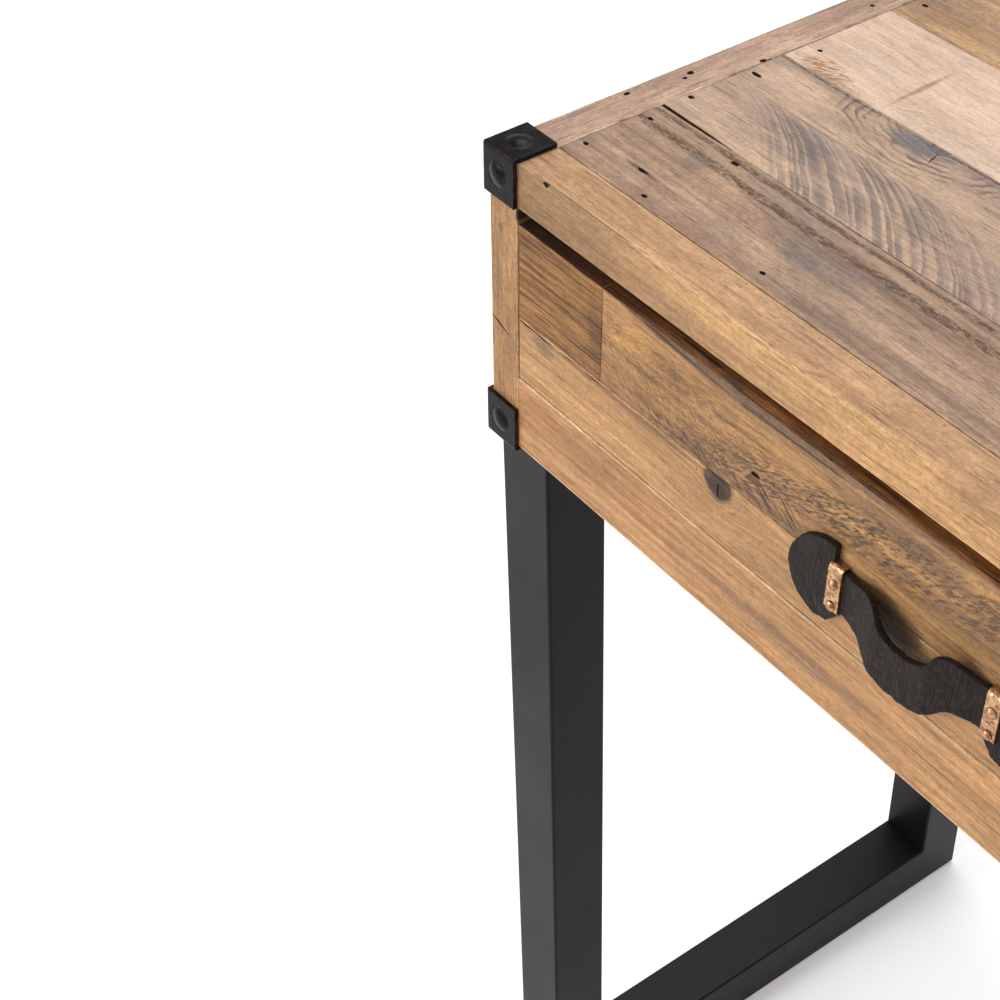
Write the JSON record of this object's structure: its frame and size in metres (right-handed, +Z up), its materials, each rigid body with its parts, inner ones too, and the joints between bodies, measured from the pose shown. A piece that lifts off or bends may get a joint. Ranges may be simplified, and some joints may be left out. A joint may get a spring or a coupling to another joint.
{
  "type": "side table with drawer",
  "caption": "Side table in reclaimed timber with iron corner brackets, one sliding drawer with a forged pull, and closed-loop steel tube legs that lean inwards.",
  "frame": {"origin": "on the floor, under the middle of the table's outer box", "axes": "+Z up, +Y towards the back, +X to the right seen from the front; the drawer opens along -Y"},
  "size_m": [0.6148, 0.4264, 0.8044],
  "materials": {
    "top_wood": "reclaimed pine planks, flat sawn, matt oiled",
    "border_wood": "reclaimed pine battens, matt oiled",
    "front_wood": "reclaimed pine, warm tan, matt oiled",
    "dark_wood": "rough-sawn reclaimed pine, darker",
    "panel_wood": "reclaimed pine panels, matt oiled",
    "inner_wood": "plain planed pine",
    "plywood": "thin plywood",
    "bracket_iron": "blackened, edges rubbed brown",
    "powder_coat": "satin black powder coat",
    "forged_iron": "forged, blackened, rough",
    "copper": "hammered copper, worn bright with dark patina",
    "screw_steel": "zinc plated",
    "glide_plastic": "moulded"
  },
  "bodies": {
    "table": {"back_panel": "panel_wood", "close_stop_left": "inner_wood", "close_stop_right": "inner_wood", "corner_bottom_back_left": "bracket_iron", "corner_bottom_back_right": "bracket_iron", "corner_bottom_front_left": "bracket_iron", "corner_bottom_front_right": "bracket_iron", "corner_top_back_left": "bracket_iron", "corner_top_back_right": "bracket_iron", "corner_top_front_left": "bracket_iron", "corner_top_front_right": "bracket_iron", "floor_glides": "glide_plastic", "floor_rail_left": "powder_coat", "floor_rail_right": "powder_coat", "frame_screws_left": "screw_steel", "frame_screws_right": "screw_steel", "frame_top_rail_left": "powder_coat", "frame_top_rail_right": "powder_coat", "front_bottom_rail": "front_wood", "kicker_left": "inner_wood", "kicker_right": "inner_wood", "leg_back_left": "powder_coat", "leg_back_right": "powder_coat", "leg_front_left": "powder_coat", "leg_front_right": "powder_coat", "open_stop_left": "inner_wood", "open_stop_right": "inner_wood", "post_back_left": "front_wood", "post_back_right": "front_wood", "post_front_left": "front_wood", "post_front_right": "front_wood", "runner_left": "inner_wood", "runner_right": "inner_wood", "side_panel_left": "panel_wood", "side_panel_right": "panel_wood", "top_bearer": "inner_wood", "top_border_back": "border_wood", "top_border_front": "border_wood", "top_border_left": "border_wood", "top_border_right": "border_wood", "top_plank_1": "top_wood", "top_plank_2": "top_wood", "top_plank_3": "top_wood", "top_plank_4": "top_wood", "top_plank_5": "top_wood", "top_screws": "screw_steel"},
    "drawer": {"drawer_back": "inner_wood", "drawer_bottom": "plywood", "drawer_front_screws": "screw_steel", "drawer_inner_front": "inner_wood", "drawer_plank_long": "front_wood", "drawer_plank_lower": "front_wood", "drawer_plank_short": "dark_wood", "drawer_side_left": "inner_wood", "drawer_side_right": "inner_wood", "handle_plate": "forged_iron", "handle_strap_left": "copper", "handle_strap_right": "copper", "strap_rivets": "copper"}
  },
  "joints": [
    {"name": "drawer_slide", "type": "slide", "parent": "table", "child": "drawer", "axis": [0, -1, 0], "range_m": [0, 0.26]}
  ]
}
